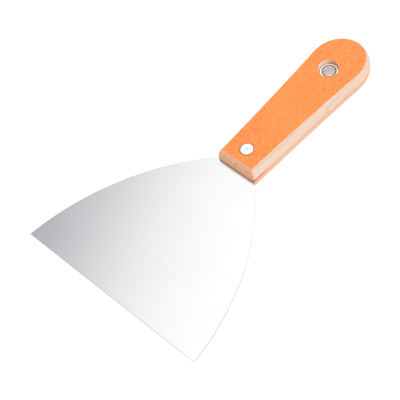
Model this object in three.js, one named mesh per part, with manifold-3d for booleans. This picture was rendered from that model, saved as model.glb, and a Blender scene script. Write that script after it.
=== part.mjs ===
// Flexible putty knife: a thin spring-steel blade with a full tang between two wooden
// handle scales, held by a two-piece rivet at the front and a hollow hanging rivet at the butt.
//
// Millimetres, +Z up. X runs across the blade and Y along the tool, with the working edge at -Y
// and the butt of the handle at +Y. The origin is the bottom centre of the whole tool.
// The pieces are drawn in the tool's own coordinates first: y = 0 at the front end of the handle
// and z = 0 in the blade's mid-plane. A group then moves them all to the origin.

import * as THREE from 'three';
import { mergeVertices } from 'three/addons/utils/BufferGeometryUtils.js';
import Module from 'manifold-3d';

const wasm = await Module();
wasm.setup();

// ---- Driving dimensions -------------------------------------------------------------------

const OVERALL_LENGTH = 205;
const HANDLE_LENGTH = 105.8;
const CLEARANCE = 0.3; // between any two pieces

const BLADE_WIDTH = 125; // along the working edge
const BLADE_THICKNESS = 0.7;
const BLADE_SIDE_RADIUS = 159; // both sides are one convex arc from tip to neck
const NECK_HALF_WIDTH = 13.4;
const NECK_Y = 1.1; // the blade is as wide as the handle just inside its front end
const TANG_HALF_WIDTH = 9;
const TANG_FILLET_END_Y = 11;

const HANDLE_FRONT_HALF_WIDTH = 13.3; // at the parting plane, where the handle is widest
const BUTT_HALF_WIDTH = 17.4;
const BUTT_ROUND_LENGTH = 18.8; // the butt is half an ellipse
const SIDE_FLARE_FRONT = 0.029; // widening of each side per millimetre of length
const SIDE_FLARE_REAR = 0.066;
// Height of each broad face from the blade's mid-plane: the handle tapers towards its butt.
const UPPER_FACE = { front: 7.73, butt: 6.35 };
const LOWER_FACE = { front: 7.73, butt: 5.7 };
const SIDE_SLOPE = 0.315; // how far the sides come in by the broad face, per millimetre of height
const SIDE_ROUNDING = 0.93; // how much of a quarter ellipse the sides' section is, 0 to 1
const FRONT_CORNER_RADIUS = 1.8; // in plan, at the parting plane
const SCALE_GAP = 0.3; // between the two scales, behind the throat
const THROAT_LENGTH = 15; // the slot for the blade is open to the sides this far

const RIVET_Y = 10.9;
const RIVET_HEAD_RADIUS = 3.67;
const RIVET_HEAD_THICKNESS = 1.2;
const RIVET_PROUD = 0.2; // the head's edge stands this far above the handle's face
const RIVET_DOME_HEIGHT = 0.3;
const RIVET_TUBE_RADIUS = 2.5;
const RIVET_BORE_RADIUS = 1.55;

const HANG_HOLE_X = -0.7; // drilled a little to one side of the centre line
const HANG_HOLE_Y = 80.1;
const HANG_HOLE_RADIUS = 6;
const EYELET_RIM_DEPTH = 2.4; // from the handle's face down to the crest of the rim
const EYELET_RIM_RADIUS = 5.5;
const EYELET_CREST_RADIUS = 4.95;
const EYELET_RIM_THICKNESS = 0.9;
const EYELET_TUBE_RADIUS = 4.4;
const EYELET_BORE_RADIUS = 3.2;

const ARC_STEPS = 24; // segments in each drawn curve
const SIDE_STEPS = 8; // segments up the whole quarter ellipse of a side
const ROUND_STEPS = 48; // segments round a turned piece or a drilled hole

// ---- Helpers ------------------------------------------------------------------------------

function faceHeight(face, y) {
  return THREE.MathUtils.lerp(face.front, face.butt, y / HANDLE_LENGTH);
}

function toManifold(geometry) {
  const bare = geometry.clone();
  bare.deleteAttribute('normal');
  bare.deleteAttribute('uv');
  const merged = mergeVertices(bare, 1e-4);
  return new wasm.Manifold(new wasm.Mesh({
    numProp: 3,
    vertProperties: new Float32Array(merged.attributes.position.array),
    triVerts: new Uint32Array(merged.index.array),
  }));
}

function toGeometry(solid) {
  const mesh = solid.getMesh();
  const geometry = new THREE.BufferGeometry();
  geometry.setAttribute('position', new THREE.BufferAttribute(mesh.vertProperties, 3));
  geometry.setIndex(new THREE.BufferAttribute(mesh.triVerts, 1));
  geometry.computeVertexNormals();
  return geometry;
}

// A flat outline made into a plate, centred on z = 0.
function plate(outline, thickness) {
  const geometry = new THREE.ExtrudeGeometry(outline, {
    depth: thickness,
    bevelEnabled: false,
    curveSegments: ARC_STEPS,
  });
  return geometry.translate(0, 0, -thickness / 2);
}

// A profile of (radius, z) points turned round the Z axis.
function turned(profile) {
  return new THREE.LatheGeometry(profile, ROUND_STEPS).rotateX(Math.PI / 2);
}

// A vertical drill from one height to another.
function drill(radius, x, y, low, high) {
  const geometry = new THREE.CylinderGeometry(radius, radius, high - low, ROUND_STEPS);
  return toManifold(geometry.rotateX(Math.PI / 2).translate(x, y, (low + high) / 2));
}

function namedMesh(name, geometry, material) {
  const mesh = new THREE.Mesh(geometry, material);
  mesh.name = name;
  return mesh;
}

// ---- Blade --------------------------------------------------------------------------------

const WORKING_EDGE_Y = HANDLE_LENGTH - OVERALL_LENGTH;

// Centre of the right-hand side's arc, from its two ends and its radius.
function bladeSideCentre() {
  const tip = new THREE.Vector2(BLADE_WIDTH / 2, WORKING_EDGE_Y);
  const neck = new THREE.Vector2(NECK_HALF_WIDTH, NECK_Y);
  const chord = neck.clone().sub(tip);
  const inward = new THREE.Vector2(-chord.y, chord.x).normalize();
  const sagittaArm = Math.sqrt(BLADE_SIDE_RADIUS ** 2 - chord.lengthSq() / 4);
  return tip.add(neck).multiplyScalar(0.5).addScaledVector(inward, sagittaArm);
}

function roundHole(radius, x, y) {
  const hole = new THREE.Path();
  hole.absarc(x, y, radius, 0, 2 * Math.PI, true);
  return hole;
}

function bladeOutline() {
  const centre = bladeSideCentre();
  const tipAngle = Math.atan2(WORKING_EDGE_Y - centre.y, BLADE_WIDTH / 2 - centre.x);
  const neckAngle = Math.atan2(NECK_Y - centre.y, NECK_HALF_WIDTH - centre.x);
  const stepIn = NECK_HALF_WIDTH - TANG_HALF_WIDTH;
  const filletY = NECK_Y + stepIn / Math.tan(neckAngle);
  const shape = new THREE.Shape();
  shape.moveTo(-BLADE_WIDTH / 2, WORKING_EDGE_Y);
  shape.lineTo(BLADE_WIDTH / 2, WORKING_EDGE_Y);
  shape.absarc(centre.x, centre.y, BLADE_SIDE_RADIUS, tipAngle, neckAngle);
  shape.quadraticCurveTo(TANG_HALF_WIDTH, filletY, TANG_HALF_WIDTH, TANG_FILLET_END_Y);
  shape.absarc(0, HANG_HOLE_Y, TANG_HALF_WIDTH, 0, Math.PI);
  shape.lineTo(-TANG_HALF_WIDTH, TANG_FILLET_END_Y);
  shape.quadraticCurveTo(-TANG_HALF_WIDTH, filletY, -NECK_HALF_WIDTH, NECK_Y);
  shape.absarc(-centre.x, centre.y, BLADE_SIDE_RADIUS, Math.PI - neckAngle, Math.PI - tipAngle);
  shape.holes.push(roundHole(RIVET_TUBE_RADIUS + CLEARANCE, 0, RIVET_Y));
  shape.holes.push(roundHole(EYELET_TUBE_RADIUS + CLEARANCE, HANG_HOLE_X, HANG_HOLE_Y));
  return shape;
}

// ---- Handle scales ------------------------------------------------------------------------

// The handle's outline at the parting plane: a straight front end, sides that flare in a
// shallow curve, and an elliptical butt that they meet smoothly.
function handleOutline() {
  const buttY = HANDLE_LENGTH - BUTT_ROUND_LENGTH;
  const joinAngle = Math.atan(SIDE_FLARE_REAR * BUTT_ROUND_LENGTH / BUTT_HALF_WIDTH);
  const joinX = BUTT_HALF_WIDTH * Math.cos(joinAngle);
  const joinY = buttY - BUTT_ROUND_LENGTH * Math.sin(joinAngle);
  const bendY = (joinX - SIDE_FLARE_REAR * joinY - HANDLE_FRONT_HALF_WIDTH)
    / (SIDE_FLARE_FRONT - SIDE_FLARE_REAR);
  const bendX = HANDLE_FRONT_HALF_WIDTH + SIDE_FLARE_FRONT * bendY;
  const shape = new THREE.Shape();
  shape.moveTo(-HANDLE_FRONT_HALF_WIDTH, 0);
  shape.lineTo(HANDLE_FRONT_HALF_WIDTH, 0);
  shape.quadraticCurveTo(bendX, bendY, joinX, joinY);
  shape.absellipse(0, buttY, BUTT_HALF_WIDTH, BUTT_ROUND_LENGTH, -joinAngle, Math.PI + joinAngle);
  shape.quadraticCurveTo(-bendX, bendY, -HANDLE_FRONT_HALF_WIDTH, 0);
  return shape;
}

// A block that is upright at the parting plane and whose sides round in above it. The section is
// the same part of a quarter ellipse all along the handle, in proportion to the height there.
function roundedBlock(face) {
  const half = SCALE_GAP / 2;
  const fullHeight = face.front / SIDE_ROUNDING;
  const fullInset = SIDE_SLOPE * face.front / (1 - Math.sqrt(1 - SIDE_ROUNDING ** 2));
  const block = new THREE.ExtrudeGeometry(handleOutline(), {
    depth: SCALE_GAP,
    bevelThickness: fullHeight - half,
    bevelSize: fullInset,
    bevelOffset: -fullInset,
    bevelSegments: SIDE_STEPS,
    curveSegments: ARC_STEPS,
  });
  block.translate(0, 0, -half);
  const points = block.getAttribute('position');
  for (let i = 0; i < points.count; i += 1) {
    const rise = Math.max(0, Math.abs(points.getZ(i)) - half);
    const inset = 1 - Math.sqrt(Math.max(0, 1 - (rise / (fullHeight - half)) ** 2));
    const size = faceHeight(face, points.getY(i)) / face.front;
    const localInset = Math.min(1, inset / size);
    const localRise = (size * fullHeight - half) * Math.sqrt(1 - (1 - localInset) ** 2);
    points.setZ(i, Math.sign(points.getZ(i)) * (half + localRise));
  }
  return toManifold(block);
}

// What rounds off the right-hand front corner, in plan.
function cornerCutter() {
  const sideX = HANDLE_FRONT_HALF_WIDTH + SIDE_FLARE_FRONT * FRONT_CORNER_RADIUS;
  const centreX = sideX - FRONT_CORNER_RADIUS;
  const past = 2;
  const shape = new THREE.Shape();
  shape.moveTo(centreX, -past);
  shape.absarc(centreX, FRONT_CORNER_RADIUS, FRONT_CORNER_RADIUS, -Math.PI / 2, 0);
  shape.lineTo(sideX + past, FRONT_CORNER_RADIUS);
  shape.lineTo(sideX + past, -past);
  return toManifold(plate(shape, 4 * UPPER_FACE.front));
}

// Everything above the parting plane and below the broad face, as one wedge.
function wedgeUnder(face) {
  const past = 10;
  const side = new THREE.Shape();
  side.moveTo(-past, SCALE_GAP / 2);
  side.lineTo(HANDLE_LENGTH + past, SCALE_GAP / 2);
  side.lineTo(HANDLE_LENGTH + past, faceHeight(face, HANDLE_LENGTH + past));
  side.lineTo(-past, faceHeight(face, -past));
  const width = 2 * (BUTT_HALF_WIDTH + past);
  const wedge = new THREE.ExtrudeGeometry(side, { depth: width, bevelEnabled: false });
  wedge.translate(0, 0, -width / 2);
  wedge.rotateX(Math.PI / 2).rotateZ(Math.PI / 2);
  return toManifold(wedge);
}

// The slot that the blade's neck and tang lie in: as wide as the handle in the throat, and
// then just wider than the tang.
function tangSlot() {
  const wide = BUTT_HALF_WIDTH + 5;
  const narrow = TANG_HALF_WIDTH + CLEARANCE;
  const slot = new THREE.Shape();
  slot.moveTo(-wide, -5);
  slot.lineTo(wide, -5);
  slot.lineTo(wide, THROAT_LENGTH);
  slot.lineTo(narrow, THROAT_LENGTH);
  slot.absarc(0, HANG_HOLE_Y, narrow, 0, Math.PI);
  slot.lineTo(-narrow, THROAT_LENGTH);
  slot.lineTo(-wide, THROAT_LENGTH);
  return toManifold(plate(slot, BLADE_THICKNESS + 2 * CLEARANCE));
}

const rivetRimZ = (face) => faceHeight(face, RIVET_Y) + RIVET_PROUD;
const rivetUnderHeadZ = (face) => rivetRimZ(face) - RIVET_HEAD_THICKNESS;
const eyeletCrestZ = (face) => faceHeight(face, HANG_HOLE_Y) - EYELET_RIM_DEPTH;
const eyeletUnderRimZ = (face) => eyeletCrestZ(face) - EYELET_RIM_THICKNESS;

// One scale, drawn above the parting plane.
function handleScale(face) {
  const top = face.front + 5;
  const rivetSeatZ = rivetUnderHeadZ(face) - CLEARANCE;
  const eyeletSeatZ = eyeletUnderRimZ(face) - CLEARANCE;
  const cuts = [
    cornerCutter(),
    cornerCutter().mirror([1, 0, 0]),
    tangSlot(),
    drill(RIVET_TUBE_RADIUS + CLEARANCE, 0, RIVET_Y, -1, top),
    drill(RIVET_HEAD_RADIUS + CLEARANCE, 0, RIVET_Y, rivetSeatZ, top),
    drill(EYELET_TUBE_RADIUS + CLEARANCE, HANG_HOLE_X, HANG_HOLE_Y, -1, top),
    drill(HANG_HOLE_RADIUS, HANG_HOLE_X, HANG_HOLE_Y, eyeletSeatZ, top),
  ];
  const blank = roundedBlock(face).intersect(wedgeUnder(face));
  return cuts.reduce((solid, cut) => solid.subtract(cut), blank);
}

// ---- Rivets -------------------------------------------------------------------------------

// A rivet's head, from its underside out to the edge and over the shallow dome to the axis.
function headPoints(face) {
  const steps = 6;
  const dome = Array.from({ length: steps + 1 }, (_, i) => {
    const angle = i / steps * Math.PI / 2;
    const z = rivetRimZ(face) + RIVET_DOME_HEIGHT * Math.sin(angle);
    return new THREE.Vector2(RIVET_HEAD_RADIUS * Math.cos(angle), z);
  });
  return [new THREE.Vector2(RIVET_HEAD_RADIUS, rivetUnderHeadZ(face)), ...dome];
}

// The female half: the upper head with a blind tube that reaches through the handle.
function rivetTube() {
  const boreEndZ = rivetUnderHeadZ(UPPER_FACE);
  const mouthZ = CLEARANCE - rivetUnderHeadZ(LOWER_FACE);
  return turned([
    new THREE.Vector2(0, boreEndZ),
    new THREE.Vector2(RIVET_BORE_RADIUS, boreEndZ),
    new THREE.Vector2(RIVET_BORE_RADIUS, mouthZ),
    new THREE.Vector2(RIVET_TUBE_RADIUS, mouthZ),
    new THREE.Vector2(RIVET_TUBE_RADIUS, boreEndZ),
    ...headPoints(UPPER_FACE),
  ]);
}

// The male half, drawn head up and then turned over: a head with a pin that fills the bore.
function rivetPin() {
  const pinRadius = RIVET_BORE_RADIUS - CLEARANCE;
  const tipZ = CLEARANCE - rivetUnderHeadZ(UPPER_FACE);
  return turned([
    new THREE.Vector2(0, tipZ),
    new THREE.Vector2(pinRadius, tipZ),
    new THREE.Vector2(pinRadius, rivetUnderHeadZ(LOWER_FACE)),
    ...headPoints(LOWER_FACE),
  ]).rotateY(Math.PI);
}

// One end of the hollow rivet's section: the outside of its tube, the underside of the rim,
// and the rolled rim over to the bore.
function eyeletEnd(face) {
  const steps = 12;
  const rimUnderZ = eyeletUnderRimZ(face);
  const roll = Array.from({ length: steps + 1 }, (_, i) => {
    const angle = i / steps * Math.PI;
    const end = angle < Math.PI / 2 ? EYELET_RIM_RADIUS : EYELET_BORE_RADIUS;
    const radius = THREE.MathUtils.lerp(EYELET_CREST_RADIUS, end, Math.abs(Math.cos(angle)));
    return new THREE.Vector2(radius, rimUnderZ + EYELET_RIM_THICKNESS * Math.sin(angle));
  });
  return [new THREE.Vector2(EYELET_TUBE_RADIUS, rimUnderZ), ...roll];
}

function hangEyelet() {
  const upper = eyeletEnd(UPPER_FACE);
  const lower = eyeletEnd(LOWER_FACE).map((point) => new THREE.Vector2(point.x, -point.y));
  return turned([...upper, ...lower.reverse(), upper[0].clone()]);
}

// ---- Materials ----------------------------------------------------------------------------

function material(color, roughness, metalness) {
  return new THREE.MeshStandardMaterial({ color, roughness, metalness });
}

const bladeSteel = material(0xc9cbce, 0.35, 1);
const paintedWood = material(0xfd9b57, 0.6, 0);
const rivetMetal = material(0xe8e6e8, 0.25, 1);
const eyeletSteel = material(0xd8d8da, 0.2, 1);

// ---- Assembly -----------------------------------------------------------------------------

const bladeGeometry = plate(bladeOutline(), BLADE_THICKNESS);
const upperScaleGeometry = toGeometry(handleScale(UPPER_FACE));
const lowerScaleGeometry = toGeometry(handleScale(LOWER_FACE).mirror([0, 0, 1]));

const blade = namedMesh('blade', bladeGeometry, bladeSteel);
const upperWood = namedMesh('upper_scale', upperScaleGeometry, paintedWood);
const lowerWood = namedMesh('lower_scale', lowerScaleGeometry, paintedWood);
const tube = namedMesh('front_rivet_tube', rivetTube(), rivetMetal);
const pin = namedMesh('front_rivet_pin', rivetPin(), rivetMetal);
const eyelet = namedMesh('hang_eyelet', hangEyelet(), eyeletSteel);
tube.position.set(0, RIVET_Y, 0);
pin.position.set(0, RIVET_Y, 0);
eyelet.position.set(HANG_HOLE_X, HANG_HOLE_Y, 0);

const puttyKnife = new THREE.Group();
puttyKnife.add(blade, upperWood, lowerWood, tube, pin, eyelet);

const lowestZ = -(rivetRimZ(LOWER_FACE) + RIVET_DOME_HEIGHT);
puttyKnife.position.set(0, -(WORKING_EDGE_Y + HANDLE_LENGTH) / 2, -lowestZ);

export default puttyKnife;
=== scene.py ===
import math

import bmesh
import bpy
from mathutils import Matrix, Vector
from mathutils.geometry import delaunay_2d_cdt


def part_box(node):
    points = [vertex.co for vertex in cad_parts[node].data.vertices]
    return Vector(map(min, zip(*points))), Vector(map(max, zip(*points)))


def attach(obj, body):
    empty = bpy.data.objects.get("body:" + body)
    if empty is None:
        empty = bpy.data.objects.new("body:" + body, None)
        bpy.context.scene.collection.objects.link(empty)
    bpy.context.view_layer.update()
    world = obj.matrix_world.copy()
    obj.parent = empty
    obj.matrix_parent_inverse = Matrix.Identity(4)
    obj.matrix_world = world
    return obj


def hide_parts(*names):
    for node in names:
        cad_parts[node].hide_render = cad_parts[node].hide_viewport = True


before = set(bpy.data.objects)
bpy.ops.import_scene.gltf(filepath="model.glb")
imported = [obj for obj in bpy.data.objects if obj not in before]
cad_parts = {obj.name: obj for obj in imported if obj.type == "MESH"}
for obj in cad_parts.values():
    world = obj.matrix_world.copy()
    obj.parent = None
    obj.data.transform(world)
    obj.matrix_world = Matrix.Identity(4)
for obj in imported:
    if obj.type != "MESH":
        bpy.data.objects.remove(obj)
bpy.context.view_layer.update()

# A flexible putty knife: a thin fan-shaped steel blade with a tang between two wooden scales,
# whose broad and inner faces are painted orange, held by a front rivet and a hollow rivet.
#
# The shapes are worked out in millimetres in the tool's own coordinates: x across the blade,
# y = 0 at the front end of the handle and growing towards the butt, z = 0 in the blade's
# mid-plane. add_piece() turns them into metres in the row frame.

MM = 0.001

# ---- Driving dimensions, in millimetres -----------------------------------------------------

HANDLE_LENGTH = 105.8
HANDLE_FRONT_HALF_WIDTH = 13.3  # at the parting plane
BUTT_HALF_WIDTH = 17.4
BUTT_ROUND_LENGTH = 18.8
SIDE_FLARE_FRONT = 0.029
SIDE_FLARE_REAR = 0.066
SIDE_SLOPE = 0.315  # how far the sides come in by the broad face, per millimetre of height
SIDE_ROUNDING = 0.93  # how much of a quarter ellipse the sides' section is, 0 to 1
UPPER_FACE = (7.73, 6.35)  # height of the broad face at the handle's front end and at its butt
LOWER_FACE = (7.73, 5.7)
PARTING_HALF_GAP = 0.02  # from the mid-plane to each scale's inner face
THROAT_LENGTH = 15
THROAT_HALF_HEIGHT = 0.5
THROAT_CLOSING_Y = 5.5  # behind this the throat's edges close in
FRONT_CORNER_RADIUS = 1.8  # in plan, at the parting plane
FACE_CORNER_RADIUS = 0.6  # the same corner higher up
FACE_ARRIS_RADIUS = 0.6
INNER_ARRIS_RADIUS = 0.4

BLADE_SIDE_RADIUS = 159
BLADE_TIP_RADIUS = 0.3
BLADE_ARRIS_RADIUS = 0.09
NECK_HALF_WIDTH = 13.4
NECK_Y = 1.1
TANG_HALF_WIDTH = 9
TANG_FILLET_END_Y = 11
SLOT_HALF_WIDTH = TANG_HALF_WIDTH + 0.15

RIVET_HEAD_RADIUS = 3.67
RIVET_HEAD_THICKNESS = 1.2
RIVET_PROUD = 0.2
RIVET_DOME_HEIGHT = 0.3
RIVET_DIMPLE_RADIUS = 1.1
RIVET_DIMPLE_DEPTH = 0.1
RIVET_TUBE_RADIUS = 2.5
RIVET_BORE_RADIUS = 1.55
RIVET_PIN_RADIUS = 1.5

HANG_HOLE_RADIUS = 5.95
EYELET_RIM_DEPTH = 2.4
EYELET_RIM_RADIUS = 5.5
EYELET_CREST_RADIUS = 4.95
EYELET_RIM_THICKNESS = 0.9
EYELET_TUBE_RADIUS = 4.4
EYELET_BORE_RADIUS = 3.2

HOLE_FIT = 0.08  # between a rivet and the hole that it fills
RIVET_HEAD_GAP = 0.3  # round a rivet's head
SEAT_FIT = 0.02  # between a rivet's head or rim and the wood that it lies on

LATHE_STEPS = 96
FACE_GRID = 2.4  # spacing of the points inside a flat face
ROW_SPACING = 0.866  # between that grid's rows, in its own steps
EDGE_MARGIN = 0.6  # from the grid to an outline, in its own steps
SHARP_ANGLE = 35  # in degrees; flatter edges are shaded smooth

# ---- Places, from the frame -----------------------------------------------------------------

blade_low, blade_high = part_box("blade")
_, scale_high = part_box("upper_scale")
rivet_low, rivet_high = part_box("front_rivet_tube")
eyelet_low, eyelet_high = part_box("hang_eyelet")

MID_PLANE_Z = (blade_low.z + blade_high.z) / 2
ORIGIN = Vector((0, scale_high.y - HANDLE_LENGTH * MM, MID_PLANE_Z))
BLADE_HALF_WIDTH = blade_high.x / MM
BLADE_HALF_THICKNESS = (blade_high.z - blade_low.z) / 2 / MM
WORKING_EDGE_Y = (blade_low.y - ORIGIN.y) / MM
RIVET_CENTRE = ((rivet_low + rivet_high) / 2 - ORIGIN).xy / MM
HANG_HOLE_CENTRE = ((eyelet_low + eyelet_high) / 2 - ORIGIN).xy / MM
TANG_END_CENTRE_Y = (blade_high.y - ORIGIN.y) / MM - TANG_HALF_WIDTH


# ---- Mesh helpers ---------------------------------------------------------------------------


def ring(bm, points):
    """A closed loop of new points."""
    return [bm.verts.new(point) for point in points]


def bridge(bm, first, second, material=0):
    """Quads between two loops with the same number of points.

    material is a number, or a function of a quad's place in the loop.
    """
    count = len(first)
    for i in range(count):
        j = (i + 1) % count
        face = bm.faces.new((first[i], first[j], second[j], second[i]))
        face.material_index = material(i) if callable(material) else material


def strip(bm, first, second, material):
    """Quads between two open rows with the same number of points."""
    for i in range(len(first) - 1):
        face = bm.faces.new((first[i], first[i + 1], second[i + 1], second[i]))
        face.material_index = material


def inside(point, loop):
    """True if a point lies inside a closed outline, all in the XY plane."""
    found = False
    for a, b in zip(loop, loop[1:] + loop[:1]):
        if (a.y > point.y) != (b.y > point.y):
            if point.x < a.x + (point.y - a.y) * (b.x - a.x) / (b.y - a.y):
                found = not found
    return found


def nearest(point, loop):
    """Distance from a point to the nearest of a loop's points, in the XY plane."""
    return min((point - corner).length for corner in loop)


def fill(bm, loops, height, material=0):
    """Fills the area inside the first loop and outside the others with even triangles.

    height(y) is the surface's height, which the loops already have.
    """
    outlines = [[vert.co.xy.copy() for vert in loop] for loop in loops]
    verts = [vert for loop in loops for vert in loop]
    points = [point for outline in outlines for point in outline]
    edges = []
    start = 0
    for loop in loops:
        count = len(loop)
        edges += [(start + i, start + (i + 1) % count) for i in range(count)]
        start += count
    low = Vector((min(p.x for p in outlines[0]), min(p.y for p in outlines[0])))
    high = Vector((max(p.x for p in outlines[0]), max(p.y for p in outlines[0])))
    rows = int((high.y - low.y) / (FACE_GRID * ROW_SPACING)) + 1
    columns = int((high.x - low.x) / FACE_GRID) + 1
    for row in range(rows):
        for column in range(columns):
            x = low.x + (column + (row % 2) / 2) * FACE_GRID
            point = Vector((x, low.y + row * FACE_GRID * ROW_SPACING))
            if not inside(point, outlines[0]) or any(inside(point, hole) for hole in outlines[1:]):
                continue
            if min(nearest(point, outline) for outline in outlines) < FACE_GRID * EDGE_MARGIN:
                continue
            points.append(point)
            verts.append(bm.verts.new((point.x, point.y, height(point.y))))
    whole_hull = 0
    tolerance = 1e-5
    placed, _, triangles, sources, _, _ = delaunay_2d_cdt(
        points, edges, [], whole_hull, tolerance
    )
    for triangle in triangles:
        middle = (placed[triangle[0]] + placed[triangle[1]] + placed[triangle[2]]) / 3
        if not inside(middle, outlines[0]) or any(inside(middle, hole) for hole in outlines[1:]):
            continue
        face = bm.faces.new([verts[sources[i][0]] for i in triangle])
        face.material_index = material


def circle(centre, radius, height):
    """Points round a circle. height(y) is each point's height."""
    points = []
    for i in range(LATHE_STEPS):
        angle = 2 * math.pi * i / LATHE_STEPS
        x = centre[0] + radius * math.cos(angle)
        y = centre[1] + radius * math.sin(angle)
        points.append((x, y, height(y)))
    return points


def add_piece(name, bm, materials, stands_for):
    """Makes a closed mesh drawn in millimetres into a piece that rides on the knife."""
    bmesh.ops.recalc_face_normals(bm, faces=bm.faces)
    bmesh.ops.transform(bm, matrix=Matrix.Translation(ORIGIN) @ Matrix.Scale(MM, 4), verts=bm.verts)
    mesh = bpy.data.meshes.new(name)
    bm.to_mesh(mesh)
    bm.free()
    mesh.shade_smooth()
    mesh.set_sharp_from_angle(angle=math.radians(SHARP_ANGLE))
    for material in materials:
        mesh.materials.append(material)
    piece = bpy.data.objects.new(name, mesh)
    bpy.context.scene.collection.objects.link(piece)
    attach(piece, "root")
    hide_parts(stands_for)
    return piece


def lathe(name, centre, profile, material, stands_for):
    """Turns a closed (radius, height) profile round an upright axis. Zero radii are the axis."""
    bm = bmesh.new()
    rings = []
    for radius, z in profile:
        if radius == 0:
            rings.append([bm.verts.new((centre[0], centre[1], z))])
        else:
            rings.append(ring(bm, circle(centre, radius, lambda y, z=z: z)))
    for first, second in zip(rings, rings[1:] + rings[:1]):
        if len(first) == 1 and len(second) == 1:
            continue
        if len(first) == 1 or len(second) == 1:
            tip = (first if len(first) == 1 else second)[0]
            loop = second if len(first) == 1 else first
            for a, b in zip(loop, loop[1:] + loop[:1]):
                bm.faces.new((tip, a, b))
        else:
            bridge(bm, first, second)
    return add_piece(name, bm, [material], stands_for)


# ---- Node helpers ---------------------------------------------------------------------------


def add_node(tree, kind, inputs=None, **settings):
    """Adds a node. inputs maps an input's name or number to a value or an output socket."""
    node = tree.nodes.new(kind)
    for key, value in settings.items():
        setattr(node, key, value)
    for key, value in (inputs or {}).items():
        if isinstance(value, bpy.types.NodeSocket):
            tree.links.new(value, node.inputs[key])
        else:
            node.inputs[key].default_value = value
    return node


def calculate(tree, operation, *values, clamp=False):
    """Adds a math node. The values are numbers or output sockets."""
    inputs = dict(enumerate(values))
    node = add_node(tree, "ShaderNodeMath", inputs, operation=operation, use_clamp=clamp)
    return node.outputs[0]


def millimetres(tree, stretch=(1, 1, 1)):
    """Object coordinates in millimetres, each axis multiplied by its stretch."""
    place = add_node(tree, "ShaderNodeTexCoord").outputs["Object"]
    scale = tuple(factor / MM for factor in stretch)
    return add_node(tree, "ShaderNodeMapping", {"Vector": place, "Scale": scale}).outputs[0]


def noise(tree, stretch, detail, roughness=0.5):
    """Noise whose features are about 1 / stretch millimetres long along each axis."""
    inputs = {
        "Vector": millimetres(tree, stretch),
        "Scale": 1.0,
        "Detail": detail,
        "Roughness": roughness,
    }
    return add_node(tree, "ShaderNodeTexNoise", inputs).outputs["Fac"]


def ranged(tree, value, low, high, to_low=0.0, to_high=1.0, smooth=False):
    """Maps low..high to to_low..to_high, clamped."""
    inputs = {0: value, 1: low, 2: high, 3: to_low, 4: to_high}
    kind = "SMOOTHSTEP" if smooth else "LINEAR"
    node = add_node(tree, "ShaderNodeMapRange", inputs, interpolation_type=kind)
    return node.outputs[0]


def blend(tree, factor, first, second):
    """Mixes two colours."""
    node = add_node(tree, "ShaderNodeMix", data_type="RGBA")
    for key, value in (("Factor", factor), ("A", first), ("B", second)):
        socket = next(s for s in node.inputs if s.name == key and s.enabled)
        if isinstance(value, bpy.types.NodeSocket):
            tree.links.new(value, socket)
        else:
            socket.default_value = value
    return next(s for s in node.outputs if s.enabled)


def colour(red, green, blue):
    """A colour given as 0 to 255 sRGB, as a linear node value."""
    linear = []
    for value in (red / 255, green / 255, blue / 255):
        low = value / 12.92
        high = ((value + 0.055) / 1.055) ** 2.4
        linear.append(low if value <= 0.04045 else high)
    return (*linear, 1)


def new_material(name, **constants):
    """A material with a Principled shader, and its tree and shader."""
    material = bpy.data.materials.new(name)
    material.use_nodes = True
    tree = material.node_tree
    shader = tree.nodes["Principled BSDF"]
    for key, value in constants.items():
        shader.inputs[key.replace("_", " ")].default_value = value
    return material, tree, shader


def distance_from_axis(tree, point):
    """Distance in millimetres from an upright axis through a point."""
    flat = millimetres(tree, (1, 1, 0))
    inputs = {0: flat, 1: (point.x, point.y, 0)}
    node = add_node(tree, "ShaderNodeVectorMath", inputs, operation="DISTANCE")
    return node.outputs["Value"]


def surface_direction(tree):
    """The surface's normal in the knife's own axes, as a node with three outputs."""
    normal = add_node(tree, "ShaderNodeTexCoord").outputs["Normal"]
    return add_node(tree, "ShaderNodeSeparateXYZ", {0: normal})


def bump(tree, shader, height, distance):
    """Bump of the given depth in millimetres."""
    inputs = {"Height": height, "Distance": distance * MM, "Strength": 1.0}
    normal = add_node(tree, "ShaderNodeBump", inputs).outputs[0]
    tree.links.new(normal, shader.inputs["Normal"])


# ---- Materials ------------------------------------------------------------------------------


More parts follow.
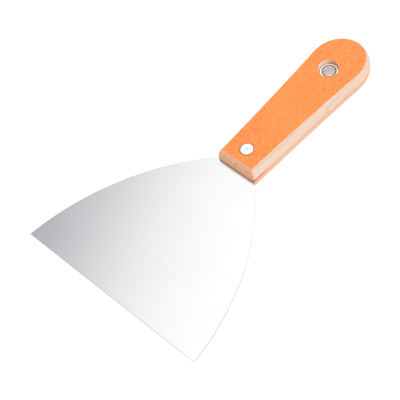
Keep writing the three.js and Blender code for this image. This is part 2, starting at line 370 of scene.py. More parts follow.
def wood_look(tree, pale, dark):
    """The colour and height of close-grained hardwood, and the surface's normal.

    The grain runs along the handle. The wood has wandering rings, fine fibres, warmer blushes and
    dark flecks, and it is browner on the end grain.
    """
    ring_wander = 14.0  # millimetres
    ring_weight = 0.3
    fibre_weight = 0.5
    blush_weight = 0.5
    fleck_weight = 0.35
    drift = noise(tree, (0.05, 0.006, 0.05), detail=2)
    warped = add_node(
        tree, "ShaderNodeCombineXYZ", {0: calculate(tree, "MULTIPLY", drift, ring_wander)}
    ).outputs[0]
    place = add_node(
        tree,
        "ShaderNodeVectorMath",
        {0: millimetres(tree, (1, 0.02, 0.3)), 1: warped},
        operation="ADD",
    ).outputs[0]
    rings = add_node(
        tree,
        "ShaderNodeTexWave",
        {"Vector": place, "Scale": 0.16, "Distortion": 1.2, "Detail": 2.0},
        wave_type="BANDS",
        bands_direction="X",
        wave_profile="SAW",
    ).outputs["Fac"]
    fibres = noise(tree, (2.3, 0.07, 2.3), detail=4, roughness=0.65)
    flecks = ranged(tree, noise(tree, (3.2, 0.45, 3.2), detail=1), 0.62, 0.72)
    shade = calculate(
        tree,
        "ADD",
        calculate(tree, "MULTIPLY", rings, ring_weight),
        calculate(tree, "MULTIPLY", ranged(tree, fibres, 0.34, 0.66), fibre_weight),
        clamp=True,
    )
    body = blend(tree, shade, pale, dark)
    blush = ranged(tree, noise(tree, (1.4, 0.5, 1.4), detail=3), 0.44, 0.6)
    blush = calculate(tree, "MULTIPLY", blush, blush_weight)
    body = blend(tree, blush, body, colour(224, 178, 142))
    body = blend(
        tree, calculate(tree, "MULTIPLY", flecks, fleck_weight), body, colour(170, 118, 84)
    )
    normal = surface_direction(tree)
    end_grain = ranged(tree, calculate(tree, "ABSOLUTE", normal.outputs[1]), 0.6, 0.9)
    pores = ranged(tree, noise(tree, (2.0, 1.0, 0.3), detail=3), 0.4, 0.6)
    end_shade = calculate(tree, "MULTIPLY", calculate(tree, "ADD", shade, pores), 0.5)
    end_colour = blend(tree, end_shade, colour(236, 186, 149), colour(188, 134, 97))
    body = blend(tree, end_grain, body, end_colour)
    height = calculate(tree, "ADD", fibres, calculate(tree, "MULTIPLY", flecks, -0.6))
    return body, height, normal


def paint_look(tree):
    """Colour and height of a thin coat of orange paint."""
    cloud_weight = 0.35
    grain_weight = 0.7
    mottle = noise(tree, (1.0, 0.7, 1.0), detail=4, roughness=0.75)
    clouds = noise(tree, (0.07, 0.04, 0.07), detail=2)
    grain = noise(tree, (2.4, 0.12, 2.4), detail=3, roughness=0.6)
    body = blend(
        tree, ranged(tree, mottle, 0.36, 0.64), colour(228, 102, 38), colour(250, 149, 75)
    )
    cloudy = ranged(tree, clouds, 0.35, 0.65, 0.0, cloud_weight)
    body = blend(tree, cloudy, body, colour(250, 144, 66))
    height = calculate(tree, "ADD", calculate(tree, "MULTIPLY", grain, grain_weight), mottle)
    return body, height


def corner_line(tree, across, along, height):
    """1 along a thin line down the right-hand front corner, narrower near the parting plane.

    turn is 0 on the front end, 1 on the side and 0.5 halfway round the corner.
    """
    turn = calculate(tree, "DIVIDE", across, calculate(tree, "SUBTRACT", across, along))
    off_middle = calculate(tree, "ABSOLUTE", calculate(tree, "SUBTRACT", turn, 0.5))
    half_width = ranged(tree, height, 0.5, 5.0, 0.08, 0.26)
    line = ranged(tree, calculate(tree, "SUBTRACT", off_middle, half_width), 0.05, -0.05)
    on_corner = calculate(
        tree, "MULTIPLY", ranged(tree, across, 0.05, 0.15), ranged(tree, along, -0.05, -0.15)
    )
    return calculate(tree, "MULTIPLY", line, on_corner)


def run_over_left(tree, across):
    """How much further the paint reaches over the arris on the left-hand side."""
    return ranged(tree, across, -0.2, -0.4, 0.0, 0.3)


def shaded_arris_paint(tree, paint, across, up):
    """Painted shade: the paint made darker and redder where it bends over an arris, most on the
    left-hand side, which faces away from the key lamp.
    """
    over = ranged(tree, calculate(tree, "ABSOLUTE", up), 0.97, 0.8)
    strength = ranged(tree, across, -0.1, -0.3, 0.35, 0.85)
    factor = calculate(tree, "MULTIPLY", over, strength)
    return blend(tree, factor, paint, colour(229, 100, 38))


def make_handle_finish():
    """Painted broad faces and bare wood sides, told apart by the surface's slope.

    The paint ends raggedly, at the arris. It runs over the arris on the left-hand side and on the
    underside, and down the right-hand front corner in a thin line. The lower scale's wood is
    darker.
    """
    split_blur = 0.1  # millimetres on each side of the parting plane
    lower_darkening = 0.5
    rag_depth = 0.07
    underside_overrun = 0.28
    corner_coat = 0.72
    material, tree, shader = new_material("handle_finish", Roughness=0.5, Specular_IOR_Level=0.35)
    wood, wood_height, normal = wood_look(tree, colour(209, 195, 184), colour(190, 154, 133))
    paint, paint_height = paint_look(tree)
    across, along, up = normal.outputs
    # Painted shade on the paint where it bends over the arrises.
    paint = shaded_arris_paint(tree, paint, across, up)

    height = add_node(tree, "ShaderNodeSeparateXYZ", {0: millimetres(tree)}).outputs[2]
    split = MID_PLANE_Z / MM
    # The wood below the parting plane is blended towards a darker brown.
    lower = ranged(tree, height, split + split_blur, split - split_blur)
    darker = blend(tree, lower_darkening, wood, colour(206, 158, 126))
    wood = blend(tree, lower, wood, darker)

    ragged = noise(tree, (1.4, 0.5, 1.4), detail=3)
    rag = ranged(tree, ragged, 0.3, 0.7, -rag_depth, rag_depth)
    upward = calculate(tree, "ADD", calculate(tree, "ADD", up, rag), run_over_left(tree, across))
    downward = calculate(
        tree, "ADD", calculate(tree, "SUBTRACT", rag, up), underside_overrun
    )
    flatness = calculate(tree, "MAXIMUM", upward, downward)
    on_faces = ranged(tree, flatness, 0.80, 0.88, smooth=True)
    corner = corner_line(tree, across, along, calculate(tree, "SUBTRACT", height, split))
    corner = calculate(tree, "MULTIPLY", corner, corner_coat)
    coat = calculate(tree, "MAXIMUM", on_faces, corner, clamp=True)
    tree.links.new(blend(tree, coat, wood, paint), shader.inputs["Base Color"])
    roughness = ranged(tree, coat, 0.0, 1.0, 0.62, 0.46)
    tree.links.new(roughness, shader.inputs["Roughness"])
    bare = calculate(tree, "SUBTRACT", 1.0, coat)
    relief = calculate(
        tree,
        "ADD",
        calculate(tree, "MULTIPLY", wood_height, bare),
        calculate(tree, "MULTIPLY", calculate(tree, "ADD", paint_height, 1.0), coat),
    )
    bump(tree, shader, relief, 0.035)
    return material


def make_bare_wood():
    """The paler fresh wood of the hanging hole's wall."""
    material, tree, shader = new_material("bare_wood", Roughness=0.65, Specular_IOR_Level=0.3)
    wood, height, _ = wood_look(tree, colour(243, 222, 208), colour(223, 194, 175))
    tree.links.new(wood, shader.inputs["Base Color"])
    bump(tree, shader, height, 0.05)
    return material


def make_inner_paint():
    """The coat on the scales' inner faces, which shows as a line between them."""
    material, tree, shader = new_material("inner_paint", Roughness=0.5)
    paint, height = paint_look(tree)
    tree.links.new(blend(tree, 0.5, paint, colour(226, 136, 84)), shader.inputs["Base Color"])
    bump(tree, shader, height, 0.03)
    return material


def make_painted_slot_shade():
    """Painted shade: a dark brown standing in for the shadow in the mouth of the blade's slot and
    round the front rivet.
    """
    material, tree, shader = new_material("painted_slot_shade", Roughness=0.8, Specular_IOR_Level=0.1)
    shade_mottle = noise(tree, (0.6, 0.6, 4.0), detail=2)
    body = blend(tree, shade_mottle, colour(74, 44, 28), colour(104, 68, 46))
    tree.links.new(body, shader.inputs["Base Color"])
    return material


def make_blade_steel():
    """Spring steel with a fine satin grind that runs across the blade, and duller, darker cut
    edges: their grey is partly the cut steel's own and partly painted shade.
    """
    scratch_weight = 0.15
    edge_roughness = 0.35
    material, tree, shader = new_material("blade_steel", Metallic=1.0)
    grind = noise(tree, (0.05, 9.0, 1.0), detail=4, roughness=0.7)
    scratches = noise(tree, (0.02, 2.4, 1.0), detail=3, roughness=0.6)
    haze = noise(tree, (0.03, 0.03, 1.0), detail=3)
    lines = calculate(
        tree, "ADD", grind, calculate(tree, "MULTIPLY", scratches, scratch_weight)
    )
    steel = blend(
        tree, ranged(tree, lines, 0.35, 0.8), colour(203, 203, 204), colour(211, 211, 211)
    )
    up = surface_direction(tree).outputs[2]
    cut_edge = ranged(tree, calculate(tree, "ABSOLUTE", up), 0.9, 0.75)
    # The cut edges' darker grey is partly painted shade for their dark outline.
    steel = blend(tree, cut_edge, steel, colour(166, 167, 169))
    tree.links.new(steel, shader.inputs["Base Color"])
    roughness = calculate(
        tree,
        "ADD",
        ranged(tree, haze, 0.3, 0.7, 0.18, 0.2),
        calculate(tree, "MULTIPLY", cut_edge, edge_roughness),
    )
    tree.links.new(roughness, shader.inputs["Roughness"])
    bump(tree, shader, grind, 0.0009)
    return material


def make_rivet_metal():
    """Pale scuffed aluminium, greyed with painted shade in the middle of the head round the dimple.
    """
    shade_weight = 0.55
    shade_start = RIVET_DIMPLE_RADIUS + 1.1
    shade_full = 0.4
    material, tree, shader = new_material("rivet_metal", Metallic=1.0)
    scuffs = noise(tree, (1.2, 1.2, 1.2), detail=5, roughness=0.7)
    metal = blend(
        tree, ranged(tree, scuffs, 0.35, 0.65), colour(246, 246, 245), colour(230, 231, 229)
    )
    radius = distance_from_axis(tree, (rivet_low + rivet_high) / 2 / MM)
    # Painted shade: the grey middle stands in for the shading of the domed head.
    middle = ranged(tree, radius, shade_start, shade_full, 0.0, shade_weight, smooth=True)
    metal = blend(tree, middle, metal, colour(190, 190, 192))
    tree.links.new(metal, shader.inputs["Base Color"])
    tree.links.new(ranged(tree, scuffs, 0.3, 0.7, 0.44, 0.56), shader.inputs["Roughness"])
    bump(tree, shader, scuffs, 0.01)
    return material


def make_eyelet_steel():
    """Bright plating on the rolled rims, a dark band of painted shade on each rim's inner slope,
    and a pale bore.
    """
    shade_band_start = EYELET_CREST_RADIUS - 0.5
    shade_band_full = EYELET_CREST_RADIUS - 0.75
    shade_band_end = EYELET_BORE_RADIUS + 0.45
    bore_start = EYELET_BORE_RADIUS + 0.15
    inner_roughness = 0.2
    material, tree, shader = new_material("eyelet_steel", Metallic=1.0)
    scuffs = noise(tree, (0.9, 0.9, 2.5), detail=5, roughness=0.7)
    bright = blend(
        tree, ranged(tree, scuffs, 0.35, 0.65), colour(242, 244, 244), colour(226, 228, 229)
    )
    radius = distance_from_axis(tree, (eyelet_low + eyelet_high) / 2 / MM)
    # Painted shade: the dark grey stands in for the shadow on the rims' inner slope.
    deep = ranged(tree, radius, shade_band_end, bore_start, smooth=True)
    inner = blend(tree, deep, colour(118, 110, 110), colour(247, 242, 240))
    within = ranged(tree, radius, shade_band_start, shade_band_full, smooth=True)
    tree.links.new(blend(tree, within, bright, inner), shader.inputs["Base Color"])
    roughness = calculate(
        tree,
        "ADD",
        ranged(tree, scuffs, 0.3, 0.7, 0.22, 0.36),
        calculate(tree, "MULTIPLY", within, inner_roughness),
    )
    tree.links.new(roughness, shader.inputs["Roughness"])
    bump(tree, shader, scuffs, 0.01)
    return material


handle_finish = make_handle_finish()
bare_wood = make_bare_wood()
inner_paint = make_inner_paint()
painted_slot_shade = make_painted_slot_shade()
blade_steel = make_blade_steel()
rivet_metal = make_rivet_metal()
eyelet_steel = make_eyelet_steel()


# ---- Blade ----------------------------------------------------------------------------------


def arc(centre, radius, start, end, steps):
    """Points along an arc, both ends included, angles in radians."""
    points = []
    for i in range(steps + 1):
        angle = start + (end - start) * i / steps
        points.append(centre + radius * Vector((math.cos(angle), math.sin(angle))))
    return points


def quadratic(start, bend, end, steps):
    """Points along a quadratic curve, both ends included."""
    points = []
    for i in range(steps + 1):
        t = i / steps
        points.append((1 - t) ** 2 * start + 2 * t * (1 - t) * bend + t**2 * end)
    return points


def blade_half_outline():
    """The right half of the blade's outline, from the middle of its working edge to its end."""
    tip = Vector((BLADE_HALF_WIDTH, WORKING_EDGE_Y))
    neck = Vector((NECK_HALF_WIDTH, NECK_Y))
    chord = neck - tip
    inward = Vector((-chord.y, chord.x)).normalized()
    centre = (tip + neck) / 2 + inward * math.sqrt(
        BLADE_SIDE_RADIUS**2 - chord.length_squared / 4
    )
    neck_angle = math.atan2(neck.y - centre.y, neck.x - centre.x)
    edge_y = WORKING_EDGE_Y + BLADE_TIP_RADIUS
    reach = BLADE_SIDE_RADIUS - BLADE_TIP_RADIUS
    tip_angle = math.asin((edge_y - centre.y) / reach)
    tip_centre = centre + reach * Vector((math.cos(tip_angle), math.sin(tip_angle)))
    fillet_y = NECK_Y + (NECK_HALF_WIDTH - TANG_HALF_WIDTH) / math.tan(neck_angle)
    tang_start = Vector((TANG_HALF_WIDTH, TANG_FILLET_END_Y))
    tang_end = Vector((TANG_HALF_WIDTH, TANG_END_CENTRE_Y))
    edge_steps = 40
    tip_steps = 8
    side_steps = 120
    fillet_steps = 20
    tang_steps = 30
    end_steps = 24
    points = [
        Vector((tip_centre.x * i / edge_steps, WORKING_EDGE_Y)) for i in range(edge_steps)
    ]
    points += arc(tip_centre, BLADE_TIP_RADIUS, -math.pi / 2, tip_angle, tip_steps)
    points += arc(centre, BLADE_SIDE_RADIUS, tip_angle, neck_angle, side_steps)[1:]
    fillet_bend = Vector((TANG_HALF_WIDTH, fillet_y))
    points += quadratic(neck, fillet_bend, tang_start, fillet_steps)[1:]
    points += [tang_start.lerp(tang_end, i / tang_steps) for i in range(1, tang_steps)]
    end_centre = Vector((0, TANG_END_CENTRE_Y))
    points += arc(end_centre, TANG_HALF_WIDTH, 0, math.pi / 2, end_steps)
    return points


def mirrored(half):
    """A whole outline from its right half, whose first and last points are on the centre line."""
    return half + [Vector((-point.x, point.y)) for point in reversed(half[1:-1])]


def inset(outline, distance):
    """The outline moved inwards by a small distance, its corners kept."""
    least_cosine = 0.3  # keeps the points of a sharp corner from moving too far
    moved = []
    count = len(outline)
    for i, point in enumerate(outline):
        before = (point - outline[i - 1]).normalized()
        after = (outline[(i + 1) % count] - point).normalized()
        along = (before + after).normalized()
        normal = Vector((-along.y, along.x))
        moved.append(point + normal * distance / max(along.dot(after), least_cosine))
    return moved


def arris(radius, steps=4):
    """(inset, drop) pairs round a square edge, from the upright side to the flat face."""
    pairs = []
    for i in range(steps + 1):
        angle = math.pi / 2 * i / steps
        pairs.append((radius * (1 - math.cos(angle)), radius * (1 - math.sin(angle))))
    return pairs


def make_blade():
    """The blade and its tang: a flat sheet with rounded arrises and two rivet holes."""
    bm = bmesh.new()
    outline = mirrored(blade_half_outline())
    face_margin = 0.22
    levels = [
        (distance, BLADE_HALF_THICKNESS - drop) for distance, drop in arris(BLADE_ARRIS_RADIUS)
    ]
    levels.append((face_margin, BLADE_HALF_THICKNESS))
    levels = [(distance, -z) for distance, z in reversed(levels)] + levels
    rings = []
    for distance, z in levels:
        rings.append(ring(bm, [(p.x, p.y, z) for p in inset(outline, distance)]))
    for lower, upper in zip(rings, rings[1:]):
        bridge(bm, lower, upper)
    bottom_holes = []
    top_holes = []
    for centre, radius in (
        (RIVET_CENTRE, RIVET_TUBE_RADIUS + HOLE_FIT),
        (HANG_HOLE_CENTRE, EYELET_TUBE_RADIUS + HOLE_FIT),
    ):
        bottom_holes.append(ring(bm, circle(centre, radius, lambda y: -BLADE_HALF_THICKNESS)))
        top_holes.append(ring(bm, circle(centre, radius, lambda y: BLADE_HALF_THICKNESS)))
        bridge(bm, bottom_holes[-1], top_holes[-1])
    fill(bm, [rings[0]] + bottom_holes, lambda y: -BLADE_HALF_THICKNESS)
    fill(bm, [rings[-1]] + top_holes, lambda y: BLADE_HALF_THICKNESS)
    return add_piece("blade_sheet", bm, [blade_steel], "blade")


# ---- Handle scales --------------------------------------------------------------------------


class HandleSide:
    """The right-hand side of the handle's outline at the parting plane."""

    def __init__(self):
        self.butt_y = HANDLE_LENGTH - BUTT_ROUND_LENGTH
        self.join_angle = math.atan(SIDE_FLARE_REAR * BUTT_ROUND_LENGTH / BUTT_HALF_WIDTH)
        join_x = BUTT_HALF_WIDTH * math.cos(self.join_angle)
        join_y = self.butt_y - BUTT_ROUND_LENGTH * math.sin(self.join_angle)
        bend_y = (join_x - SIDE_FLARE_REAR * join_y - HANDLE_FRONT_HALF_WIDTH) / (
            SIDE_FLARE_FRONT - SIDE_FLARE_REAR
        )
        self.start = Vector((HANDLE_FRONT_HALF_WIDTH, 0))
        self.bend = Vector((HANDLE_FRONT_HALF_WIDTH + SIDE_FLARE_FRONT * bend_y, bend_y))
        self.join = Vector((join_x, join_y))

    def side(self, t, distance):
        """A point on the curved side, moved in by a distance, and its outward direction."""
        point = (1 - t) ** 2 * self.start + 2 * t * (1 - t) * self.bend + t**2 * self.join
        slope = (1 - t) * (self.bend - self.start) + t * (self.join - self.bend)
        outward = Vector((slope.y, -slope.x)).normalized()
        return point - outward * distance, outward

    def butt(self, angle, distance):
        """A point on the elliptical butt, moved in by a distance."""
        point = Vector((BUTT_HALF_WIDTH * math.cos(angle), BUTT_ROUND_LENGTH * math.sin(angle)))
        outward = Vector((point.x / BUTT_HALF_WIDTH**2, point.y / BUTT_ROUND_LENGTH**2))
        return point + Vector((0, self.butt_y)) - outward.normalized() * distance

    def at_y(self, y, distance=0.0):
        """The side's parameter where it passes a given y, moved in by a distance."""
        halvings = 40
        low, high = 0.0, 1.0
        for _ in range(halvings):
            t = (low + high) / 2
            if self.side(t, distance)[0].y < y:
                low = t
            else:
                high = t
        return (low + high) / 2


HANDLE_SIDE = HandleSide()
FRONT_STEPS = 12
CORNER_STEPS = 6
BLEND_STEPS = 5  # side points between the front corner and where the fixed ones begin
BLEND_END_Y = 7.0
CORNER_FADE = 0.75  # the inset by which the corner has reached its small radius
THROAT_STEPS = 7
THROAT_STEP_WIDTH = 0.3
SIDE_STEPS = 56
BUTT_STEPS = 48
ARRIS_STEPS = 6  # up the section, round each arris
SIDE_RINGS = 14  # and between them
THROAT_INDEX = FRONT_STEPS + CORNER_STEPS + BLEND_STEPS + THROAT_STEPS
HALF_COUNT = THROAT_INDEX + 1 + SIDE_STEPS + BUTT_STEPS + 1


def throat_back_y(side):
    """Where the step at the throat's back is: its front edge (side = -1) or its back edge (1)."""
    return THROAT_LENGTH + side * THROAT_STEP_WIDTH / 2


def throat_height(y):
    """Height of the throat's edge above the mid-plane."""
    closing = max(0.0, (y - THROAT_CLOSING_Y) / (THROAT_LENGTH - THROAT_CLOSING_Y))
    return THROAT_HALF_HEIGHT + (PARTING_HALF_GAP - THROAT_HALF_HEIGHT) * closing


def side_stations():
    """Parameters of the side's fixed points, from behind the front corner to the butt."""
    turns = [HANDLE_SIDE.at_y(y) for y in (BLEND_END_Y, throat_back_y(-1), throat_back_y(1))]
    stations = []
    for start, end, steps in (
        (turns[0], turns[1], THROAT_STEPS),
        (turns[1], turns[2], 1),
        (turns[2], 1.0, SIDE_STEPS),
    ):
        stations += [start + (end - start) * (i + 1) / steps for i in range(steps)]
    return turns[0], stations


BLEND_T, SIDE_STATIONS = side_stations()
corner_cache = {}


def corner_radius(distance):
    """The front corner's radius, large at the parting plane and small where the side comes in."""
    fade = max(0.0, 1 - distance / CORNER_FADE)
    return FACE_CORNER_RADIUS + (FRONT_CORNER_RADIUS - FACE_CORNER_RADIUS) * fade


def front_corner(distance):
    """Parameter, centre and end angle of the front corner's rounding at a given inset."""
    key = round(distance, 3)
    if key not in corner_cache:
        reach = key + corner_radius(key)
        t = HANDLE_SIDE.at_y(reach, reach)
        centre, outward = HANDLE_SIDE.side(t, reach)
        corner_cache[key] = (t, centre, math.atan2(outward.y, outward.x))
    return corner_cache[key]


def outline_point(index, distance):
    """A point of the right half of the handle's outline, moved in by a distance.

    Points run from the middle of the front end to the butt. THROAT_INDEX is the last in the
    throat, and the next is just behind it.
    """
    t, centre, end_angle = front_corner(distance)
    if index < FRONT_STEPS:
        return Vector((centre.x * index / FRONT_STEPS, distance))
    index -= FRONT_STEPS
    if index <= CORNER_STEPS:
        angle = -math.pi / 2 + (end_angle + math.pi / 2) * index / CORNER_STEPS
        return centre + corner_radius(distance) * Vector((math.cos(angle), math.sin(angle)))
    index -= CORNER_STEPS
    if index <= BLEND_STEPS:
        return HANDLE_SIDE.side(t + (BLEND_T - t) * index / BLEND_STEPS, distance)[0]
    index -= BLEND_STEPS + 1
    if index < len(SIDE_STATIONS):
        return HANDLE_SIDE.side(SIDE_STATIONS[index], distance)[0]
    index -= len(SIDE_STATIONS) - 1
    turn = math.pi / 2 + HANDLE_SIDE.join_angle
    point = HANDLE_SIDE.butt(-HANDLE_SIDE.join_angle + turn * index / BUTT_STEPS, distance)
    return point if index < BUTT_STEPS else Vector((0, point.y))


def side_curve(t):
    """How much of its whole inset the side has at a height t, from 0 at the inner face to 1."""
    drop = 1 - math.sqrt(1 - (SIDE_ROUNDING * t) ** 2)
    return drop / (1 - math.sqrt(1 - SIDE_ROUNDING**2))


def side_lean():
    """The side's angle from upright where it meets the broad face."""
    step = 1e-4
    return math.atan(SIDE_SLOPE * (side_curve(1) - side_curve(1 - step)) / step)


def scale_section(base, top):
    """(inset, height) points up a scale's side, from inside its inner face to its broad face."""
    whole = SIDE_SLOPE * top
    inner_margin = 0.3
    outer_margin = 0.35
    inner = INNER_ARRIS_RADIUS
    points = [(inner + inner_margin, base)]
    for i in range(ARRIS_STEPS + 1):
        angle = -math.pi / 2 * (1 - i / ARRIS_STEPS)
        z = base + inner * (1 + math.sin(angle))
        points.append((inner * (1 - math.cos(angle)) + whole * side_curve(z / top), z))
    lean = side_lean()
    outer = FACE_ARRIS_RADIUS
    outer_run = outer * math.tan((math.pi / 2 - lean) / 2)
    side_low = base + inner
    side_high = top - outer * (1 - math.sin(lean))
    for i in range(1, SIDE_RINGS):
        z = side_low + (side_high - side_low) * i / SIDE_RINGS
        points.append((whole * side_curve(z / top), z))
    for i in range(ARRIS_STEPS + 1):
        angle = lean + (math.pi / 2 - lean) * i / ARRIS_STEPS
        z = top - outer * (1 - math.sin(angle))
        points.append((whole + outer_run - outer * math.cos(angle), z))
    points.append((whole + outer_run + outer_margin, top))
    return points


def slot_outline(front_y):
    """The tang's slot, from its right front corner round its end to its left front corner."""
    side_steps = 24
    end_steps = 48
    straight = []
    for i in range(side_steps):
        y = front_y + (TANG_END_CENTRE_Y - front_y) * i / side_steps
        straight.append(Vector((SLOT_HALF_WIDTH, y)))
    end = arc(Vector((0, TANG_END_CENTRE_Y)), SLOT_HALF_WIDTH, 0, math.pi, end_steps)
    left = [Vector((-point.x, point.y)) for point in reversed(straight)]
    return straight + end + left


def counterbore(bm, centre, radii, seat_z, face_height, material):
    """A stepped hole. Returns its lip on the broad face and its mouth on the inner face."""
    outer_radius, inner_radius = radii
    lip = 0.1
    margin = 0.3
    rings = [ring(bm, circle(centre, outer_radius + lip + margin, face_height))]
    for distance, drop in reversed(arris(lip)):
        lip_circle = circle(
            centre, outer_radius + distance, lambda y, drop=drop: face_height(y) - drop
        )
        rings.append(ring(bm, lip_circle))
    for radius, z in (
        (outer_radius, seat_z),
        (inner_radius, seat_z),
        (inner_radius, THROAT_HALF_HEIGHT),
    ):
        rings.append(ring(bm, circle(centre, radius, lambda y, z=z: z)))
    bridge(bm, rings[0], rings[1])
    for first, second in zip(rings[1:], rings[2:]):
        bridge(bm, first, second, material)
    return rings[0], rings[-1]


def make_scale(name, stands_for, face, side):
    """One scale, drawn above the mid-plane and mirrored below it for the lower one (side = -1)."""
    # slot is the dark painted shade at the slot's mouth and round the front rivet.
    finish, wood, inner, slot = range(4)  # the places of its materials
    bm = bmesh.new()

    def face_height(y):
        return face[0] + (face[1] - face[0]) * y / HANDLE_LENGTH

    columns = []
    for index in range(HALF_COUNT):
        y = outline_point(index, 0).y
        base = throat_height(y) if index <= THROAT_INDEX else PARTING_HALF_GAP
        column = []
        for distance, z in scale_section(base, face_height(y)):
            point = outline_point(index, distance)
            column.append((point.x, point.y, z))
        columns.append(column)
    columns += [[(-x, y, z) for x, y, z in column] for column in reversed(columns[1:-1])]
    rings = []
    last = len(columns[0]) - 1
    for level in range(last + 1):
        points = [column[level] for column in columns]
        if level == last:
            points = [(x, y, face_height(y)) for x, y, z in points]
        rings.append(ring(bm, points))
    shade_levels = 3
    front_count = FRONT_STEPS + CORNER_STEPS // 2

    def side_material(index, level):
        """The inner arris is painted orange along the sides; at the front end it takes the slot's
        painted shade.
        """
        at_front = index < front_count or index >= len(columns) - front_count
        if level >= (shade_levels if at_front else ARRIS_STEPS):
            return finish
        return slot if at_front else inner

    for level, (lower, upper) in enumerate(zip(rings, rings[1:])):
        bridge(bm, lower, upper, lambda index, level=level: side_material(index, level))

    # The front rivet's counterbore wall takes the painted shade, as a dark outline round the head.
    rivet_lip, rivet_mouth = counterbore(
        bm,
        RIVET_CENTRE,
        (RIVET_HEAD_RADIUS + RIVET_HEAD_GAP, RIVET_TUBE_RADIUS + HOLE_FIT),
        rivet_rim_z(face) - RIVET_HEAD_THICKNESS - SEAT_FIT,
        face_height,
        slot,
    )
    hole_lip, hole_mouth = counterbore(
        bm,
        HANG_HOLE_CENTRE,
        (HANG_HOLE_RADIUS, EYELET_TUBE_RADIUS + HOLE_FIT),
        eyelet_crest_z(face) - EYELET_RIM_THICKNESS - SEAT_FIT,
        face_height,
        wood,
    )
    fill(bm, [rings[-1], rivet_lip, hole_lip], face_height, finish)

    innermost = rings[0]
    left_throat = len(innermost) - THROAT_INDEX
    throat_edge = innermost[left_throat:] + innermost[: THROAT_INDEX + 1]
    margin_edge = innermost[THROAT_INDEX + 1 : left_throat]
    floor_slot = ring(bm, [(*p, THROAT_HALF_HEIGHT) for p in slot_outline(throat_back_y(-1))])
    margin_slot = ring(bm, [(*p, PARTING_HALF_GAP) for p in slot_outline(throat_back_y(1))])
    fill(
        bm,
        [throat_edge + floor_slot, rivet_mouth, hole_mouth],
        lambda y: THROAT_HALF_HEIGHT,
        inner,
    )
    fill(bm, [margin_edge + margin_slot[::-1]], lambda y: PARTING_HALF_GAP, inner)
    strip(
        bm,
        [throat_edge[-1]] + floor_slot + [throat_edge[0]],
        [margin_edge[0]] + margin_slot + [margin_edge[-1]],
        inner,
    )
    if side < 0:
        bmesh.ops.scale(bm, vec=(1, 1, -1), verts=bm.verts)
    materials = [handle_finish, bare_wood, inner_paint, painted_slot_shade]
    return add_piece(name, bm, materials, stands_for)


# ---- Rivets ---------------------------------------------------------------------------------


def height_at(face, centre):
    """Height of a broad face at a rivet's centre."""
    return face[0] + (face[1] - face[0]) * centre[1] / HANDLE_LENGTH


def rivet_rim_z(face):
    """Height of the edge of the front rivet's head."""
    return height_at(face, RIVET_CENTRE) + RIVET_PROUD


def eyelet_crest_z(face):
    """Height of the crest of the hollow rivet's rim."""
    return height_at(face, HANG_HOLE_CENTRE) - EYELET_RIM_DEPTH


def rivet_head(face):
    """(radius, height) points from the head's underside, round its edge and over its dome."""
    rim_z = rivet_rim_z(face)
    edge = 0.14
    edge_steps = 5
    points = [(RIVET_HEAD_RADIUS, rim_z - RIVET_HEAD_THICKNESS)]
    for distance, drop in arris(edge, edge_steps):
        points.append((RIVET_HEAD_RADIUS - distance, rim_z - drop))
    dome_radius = RIVET_HEAD_RADIUS - edge
    dome_steps = 28
    for i in range(1, dome_steps + 1):
        reach = 1 - i / dome_steps
        radius = dome_radius * reach
        within = max(0.0, 1 - (radius / RIVET_DIMPLE_RADIUS) ** 2)
        dimple = RIVET_DIMPLE_DEPTH * within**2
        points.append((radius, rim_z + RIVET_DOME_HEIGHT * (1 - reach**2) - dimple))
    return points


def make_rivet():
    """The front rivet: a tube below the upper head, and a pin in it above the lower head."""
    mouth_gap = 0.05  # from the tube's mouth to the lower head
    pin_gap = 0.3  # from the pin's end to the upper head
    upper_seat = rivet_rim_z(UPPER_FACE) - RIVET_HEAD_THICKNESS
    lower_seat = rivet_rim_z(LOWER_FACE) - RIVET_HEAD_THICKNESS
    mouth_z = mouth_gap - lower_seat
    tube = [
        (0, upper_seat),
        (RIVET_BORE_RADIUS, upper_seat),
        (RIVET_BORE_RADIUS, mouth_z),
        (RIVET_TUBE_RADIUS, mouth_z),
        (RIVET_TUBE_RADIUS, upper_seat),
    ]
    tube += rivet_head(UPPER_FACE)
    pin_end_z = pin_gap - upper_seat
    pin = [(0, pin_end_z), (RIVET_PIN_RADIUS, pin_end_z)]
    pin += [(RIVET_PIN_RADIUS, lower_seat)] + rivet_head(LOWER_FACE)
    pin = [(radius, -z) for radius, z in pin]
    lathe("rivet_tube", RIVET_CENTRE, tube, rivet_metal, "front_rivet_tube")
    lathe("rivet_pin", RIVET_CENTRE, pin, rivet_metal, "front_rivet_pin")


def eyelet_end(face):
    """(radius, height) points from the tube's outside, under the rolled rim and over it."""
    crest_z = eyelet_crest_z(face)
    under_z = crest_z - EYELET_RIM_THICKNESS
    points = [(EYELET_TUBE_RADIUS, under_z)]
    steps = 20
    for i in range(steps + 1):
        angle = math.pi * i / steps
        end = EYELET_RIM_RADIUS if i < steps / 2 else EYELET_BORE_RADIUS
        radius = EYELET_CREST_RADIUS + (end - EYELET_CREST_RADIUS) * abs(math.cos(angle))
        points.append((radius, under_z + EYELET_RIM_THICKNESS * math.sin(angle)))
    return points


def make_eyelet():
    """The hollow rivet: a tube with a rolled rim at each end."""
    upper = eyelet_end(UPPER_FACE)
    lower = [(radius, -z) for radius, z in eyelet_end(LOWER_FACE)]
    profile = upper + lower[::-1]
    lathe(
        "hang_eyelet_shell",
        HANG_HOLE_CENTRE,
        profile,
        eyelet_steel,
        "hang_eyelet",
    )


# ---- Assembly -------------------------------------------------------------------------------

make_blade()
make_scale("upper_scale_wood", "upper_scale", UPPER_FACE, 1)
make_scale("lower_scale_wood", "lower_scale", LOWER_FACE, -1)
make_rivet()
make_eyelet()

# ---- Studio ---------------------------------------------------------------------------------

scene = bpy.context.scene
scene.view_settings.view_transform = "Standard"


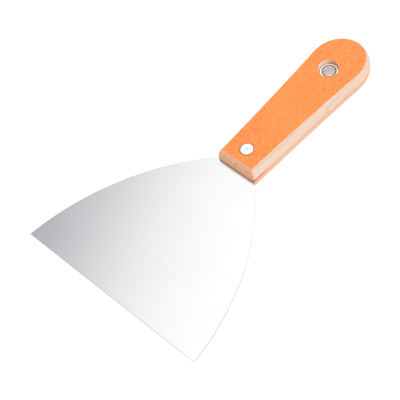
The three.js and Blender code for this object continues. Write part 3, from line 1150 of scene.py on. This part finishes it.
def make_floor():
    """A pale floor that glows enough to stay white, with a painted shadow where it glows less just
    below the hanging hole.
    """
    size = 6.0
    full_glow = 0.8
    shadow_glow = 0.6
    shadow_radius = 9  # millimetres round the hanging hole
    clear_radius = 13
    bm = bmesh.new()
    bmesh.ops.create_grid(bm, x_segments=8, y_segments=8, size=size / 2)
    mesh = bpy.data.meshes.new("floor")
    bm.to_mesh(mesh)
    bm.free()
    material, tree, shader = new_material("floor", Roughness=0.9, Specular_IOR_Level=0.1)
    shader.inputs["Base Color"].default_value = (0.35, 0.35, 0.35, 1)
    shader.inputs["Emission Color"].default_value = (1, 1, 1, 1)
    off_hole = distance_from_axis(tree, (eyelet_low + eyelet_high) / 2 / MM)
    # Painted shadow: the glow is dimmed below the hanging hole.
    glow = ranged(
        tree, off_hole, shadow_radius, clear_radius, shadow_glow, full_glow, smooth=True
    )
    tree.links.new(glow, shader.inputs["Emission Strength"])
    mesh.materials.append(material)
    floor = bpy.data.objects.new("floor", mesh)
    scene.collection.objects.link(floor)


def make_world():
    """A white surround with a brighter window and a grey panel, which the blade mirrors.

    It is dimmer overhead and near the horizon, so that the blade shows against the floor from the
    top and from low down. Directions have a length of 1, and a height is their z.
    """
    panel_way = (0.9734, 0.229, 0)
    near_edge = -0.4467  # along panel_way
    far_edge = -0.68
    edge_softness = 0.045
    panel_foot = (0.45, 0.65)  # the heights between which it fades in
    panel_colour = (0.346, 0.359, 0.404, 1)
    window_way = (-0.479, 0.306, 0.823)
    window_edge = (0.85, 0.955)  # along window_way
    window_colour = (1.74, 1.74, 1.735, 1)
    surround_colour = (1.3, 1.3, 1.3, 1)
    overhead_edge = (0.92, 0.97)
    overhead_colour = (1.1, 1.1, 1.1, 1)
    horizon_edge = (0.32, 0.12)
    horizon_colour = (1.02, 1.02, 1.02, 1)
    world = bpy.data.worlds.new("studio")
    world.use_nodes = True
    tree = world.node_tree
    direction = add_node(tree, "ShaderNodeTexCoord").outputs["Generated"]
    across = add_node(
        tree, "ShaderNodeVectorMath", {0: direction, 1: panel_way}, operation="DOT_PRODUCT"
    ).outputs["Value"]
    up = add_node(tree, "ShaderNodeSeparateXYZ", {0: direction}).outputs[2]
    beside = ranged(
        tree, across, near_edge + edge_softness, near_edge - edge_softness, smooth=True
    )
    within = ranged(
        tree, across, far_edge - edge_softness, far_edge + edge_softness, smooth=True
    )
    high = ranged(tree, up, *panel_foot, smooth=True)
    band = calculate(tree, "MULTIPLY", beside, within)
    panel = calculate(tree, "MULTIPLY", band, high)
    background = tree.nodes["Background"]
    toward = add_node(
        tree, "ShaderNodeVectorMath", {0: direction, 1: window_way}, operation="DOT_PRODUCT"
    ).outputs["Value"]
    window = ranged(tree, toward, *window_edge, smooth=True)
    overhead = ranged(tree, up, *overhead_edge, smooth=True)
    horizon = ranged(tree, up, *horizon_edge, smooth=True)
    seen = blend(tree, window, surround_colour, window_colour)
    seen = blend(tree, overhead, seen, overhead_colour)
    seen = blend(tree, horizon, seen, horizon_colour)
    seen = blend(tree, panel, seen, panel_colour)
    tree.links.new(seen, background.inputs["Color"])
    scene.world = world


def add_softbox(name, location, aim, size, radiance):
    """A rectangular lamp of a given radiance, left out of mirror images."""
    lamp = bpy.data.lights.new(name, "AREA")
    lamp.shape = "RECTANGLE"
    lamp.size, lamp.size_y = size
    lamp.energy = radiance * size[0] * size[1] * math.pi
    softbox = bpy.data.objects.new(name, lamp)
    softbox.location = location
    softbox.rotation_euler = (Vector(aim) - Vector(location)).to_track_quat("-Z", "Y").to_euler()
    softbox.visible_glossy = False
    scene.collection.objects.link(softbox)


def make_camera():
    """The camera, by where it aims, how far off it is and its three angles."""
    aim = Vector((-0.00245, -0.02934, MID_PLANE_Z))
    distance = 0.76886
    azimuth = math.radians(57.41)
    elevation = math.radians(55.35)
    roll = math.radians(-16.95)
    back = Vector((
        math.sin(azimuth) * math.cos(elevation),
        -math.cos(azimuth) * math.cos(elevation),
        math.sin(elevation),
    ))
    data = bpy.data.cameras.new("camera")
    data.sensor_width = 36
    data.lens = 127.8
    data.clip_start = 0.01
    data.clip_end = 20
    camera = bpy.data.objects.new("camera", data)
    turn = (-back).to_track_quat("-Z", "Y").to_matrix() @ Matrix.Rotation(roll, 3, "Z")
    camera.matrix_world = Matrix.Translation(aim + back * distance) @ turn.to_4x4()
    scene.collection.objects.link(camera)
    scene.camera = camera


make_floor()
make_world()
make_camera()
add_softbox("key", location=(1.3, 0.35, 0.9), aim=(0, 0, 0), size=(0.7, 0.9), radiance=3.0)
